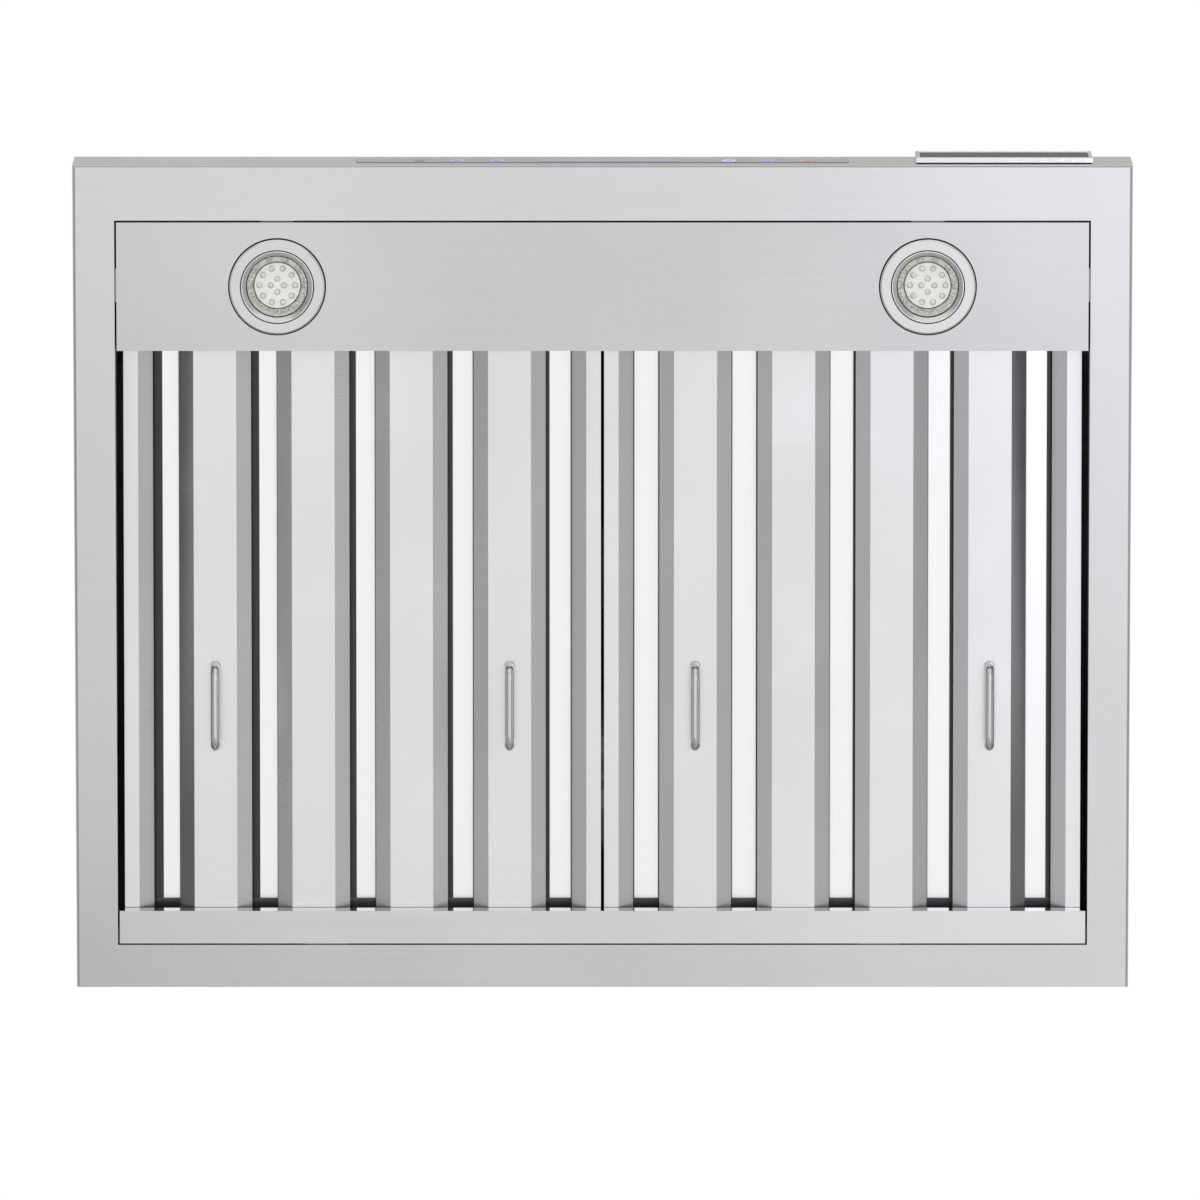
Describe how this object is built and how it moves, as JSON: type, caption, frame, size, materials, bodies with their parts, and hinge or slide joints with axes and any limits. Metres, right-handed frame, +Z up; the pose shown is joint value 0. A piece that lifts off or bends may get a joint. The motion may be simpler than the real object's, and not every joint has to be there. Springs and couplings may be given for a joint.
{
  "type": "wall mount range hood",
  "caption": "Stainless wall mount range hood with sloping baffle filters, lamps, a touch strip, a grease tray and a telescoping chimney over a blower.",
  "frame": {"origin": "on the wall plane, at the middle of the four wall screws", "axes": "+Z up, +Y into the wall, the front of the hood towards -Y, +X to the right seen from the front"},
  "size_m": [0.762, 0.6003, 0.9522],
  "materials": {
    "canopy_steel": "brushed",
    "filter_steel": "brushed",
    "bright_steel": "bright annealed",
    "handle_chrome": "polished",
    "bezel_satin": "satin",
    "lens_clear": "clear",
    "reflector_chrome": "mirror",
    "led_white": "matt",
    "led_clear": "clear",
    "can_aluminium": "cast",
    "control_dark": "gloss",
    "black_plastic": "moulded",
    "galvanised": "galvanised",
    "spring_steel": "plain",
    "motor_paint": "satin",
    "damper_plastic": "moulded"
  },
  "bodies": {
    "hood": {"back_panel": "canopy_steel", "cable_gland": "black_plastic", "canopy_front": "canopy_steel", "canopy_side_left": "canopy_steel", "canopy_side_right": "canopy_steel", "canopy_skirt": "canopy_steel", "canopy_top": "canopy_steel", "chimney_lower": "canopy_steel", "chimney_screws": "handle_chrome", "control_glass": "control_dark", "control_housing": "black_plastic", "damper_pin": "spring_steel", "junction_box": "black_plastic", "lamp_bezel_left": "bezel_satin", "lamp_bezel_right": "bezel_satin", "lamp_can_left": "can_aluminium", "lamp_can_right": "can_aluminium", "lamp_lens_left": "lens_clear", "lamp_lens_right": "lens_clear", "lamp_reflector_left": "reflector_chrome", "lamp_reflector_right": "reflector_chrome", "led_board_left": "led_white", "led_board_right": "led_white", "led_domes_left": "led_clear", "led_domes_right": "led_clear", "light_panel": "canopy_steel", "motor": "motor_paint", "motor_bracket": "galvanised", "outlet_collar": "galvanised", "scroll_side_left": "galvanised", "scroll_side_right": "galvanised", "scroll_wrap": "galvanised", "tray_clips": "spring_steel"},
    "filter_left": {"filter_frame_left": "filter_steel", "lower_baffles_left": "filter_steel", "upper_baffles_left": "bright_steel", "filter_handles_left": "handle_chrome"},
    "filter_right": {"filter_frame_right": "filter_steel", "lower_baffles_right": "filter_steel", "upper_baffles_right": "bright_steel", "filter_handles_right": "handle_chrome"},
    "tray": {"grease_tray": "canopy_steel"},
    "fan": {"impeller": "galvanised", "motor_shaft": "spring_steel"},
    "flap_left": {"damper_flap_left": "damper_plastic"},
    "flap_right": {"damper_flap_right": "damper_plastic"},
    "upper_cover": {"chimney_upper": "canopy_steel", "chimney_bracket": "galvanised"}
  },
  "joints": [
    {"name": "left_filter_shift", "type": "slide", "parent": "hood", "child": "filter_left", "axis": [0, -0.9985, 0.055], "range_m": [0, 0.024]},
    {"name": "right_filter_shift", "type": "slide", "parent": "hood", "child": "filter_right", "axis": [0, -0.9985, 0.055], "range_m": [0, 0.024]},
    {"name": "tray_drop", "type": "slide", "parent": "hood", "child": "tray", "axis": [0, 0, -1], "range_m": [0, 0.07]},
    {"name": "fan_spin", "type": "hinge", "parent": "hood", "child": "fan", "pos_m": [0, -0.10767, 0.005], "axis": [1, 0, 0], "continuous": true},
    {"name": "left_damper", "type": "hinge", "parent": "hood", "child": "flap_left", "pos_m": [0, -0.17167, 0.148], "axis": [0, 1, 0], "range_deg": [0, 75]},
    {"name": "right_damper", "type": "hinge", "parent": "hood", "child": "flap_right", "pos_m": [0, -0.17167, 0.148], "axis": [0, -1, 0], "range_deg": [0, 75]},
    {"name": "chimney_extend", "type": "slide", "parent": "hood", "child": "upper_cover", "axis": [0, 0, 1], "range_m": [-0.18, 0.14]}
  ]
}
